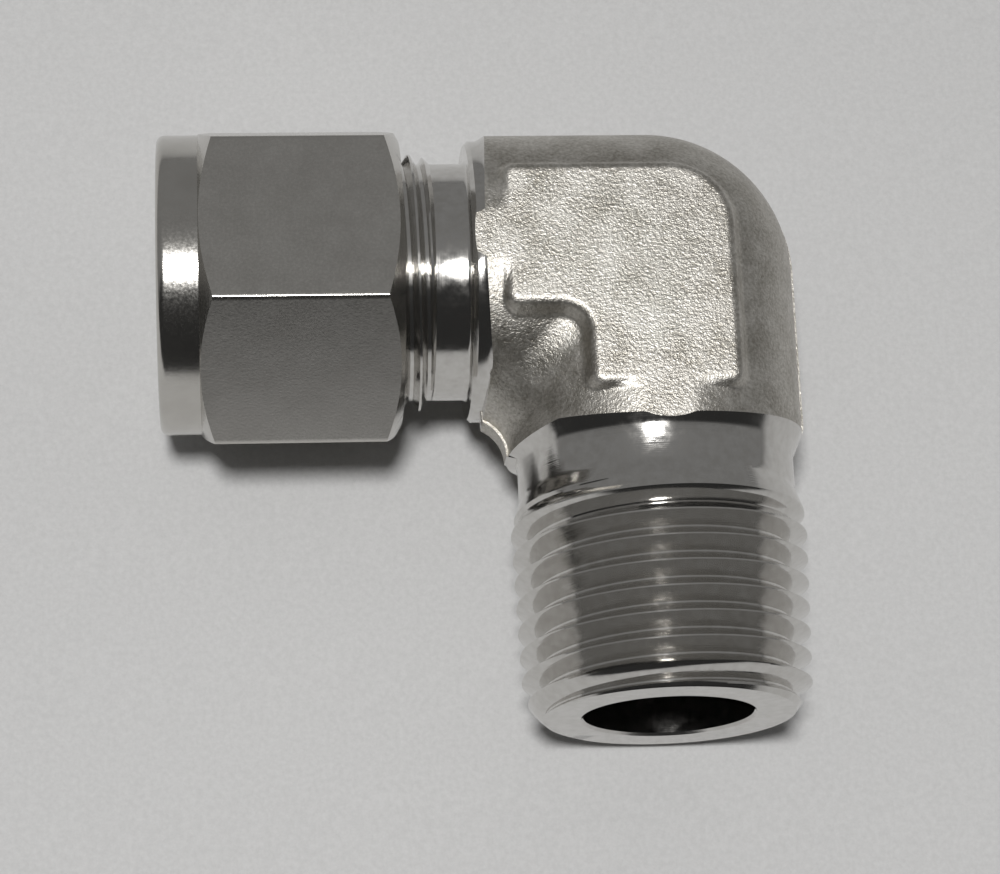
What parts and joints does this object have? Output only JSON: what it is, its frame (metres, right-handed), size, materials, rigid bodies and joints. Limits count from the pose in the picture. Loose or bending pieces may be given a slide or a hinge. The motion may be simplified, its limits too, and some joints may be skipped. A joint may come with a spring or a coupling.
{
  "type": "tube to pipe elbow fitting",
  "caption": "Forged right-angle elbow fitting with a hexagonal tube nut on one arm and a male taper pipe thread on the other.",
  "frame": {"origin": "the point where the centre lines of the two ports cross", "axes": "-X leads out of the tube port, -Y out of the pipe port, +Z is square to the plane of the elbow, up as it lies on its side"},
  "size_m": [0.0471, 0.0461, 0.0234],
  "materials": {
    "body_steel": "shot blasted forging with bright turned ends",
    "nut_steel": "satin, fine drawn grain",
    "ferrule_steel": "turned"
  },
  "bodies": {
    "elbow body": {"elbow_body": "body_steel"},
    "ferrules": {"front_ferrule": "ferrule_steel", "back_ferrule": "ferrule_steel"},
    "nut": {"tube_nut": "nut_steel"}
  },
  "joints": [
    {"name": "ferrules_slide", "type": "slide", "parent": "elbow body", "child": "ferrules", "axis": [-1, 0, 0], "range_m": [0, 0.00765]},
    {"name": "nut_spin", "type": "hinge", "parent": "ferrules", "child": "nut", "pos_m": [-0.0272, 0, 0], "axis": [-1, 0, 0], "range_deg": [0, 2160]}
  ],
  "couplings": [
    {"joint": "ferrules_slide", "follows": "nut_spin", "m_per_rad": 0.00020213}
  ]
}
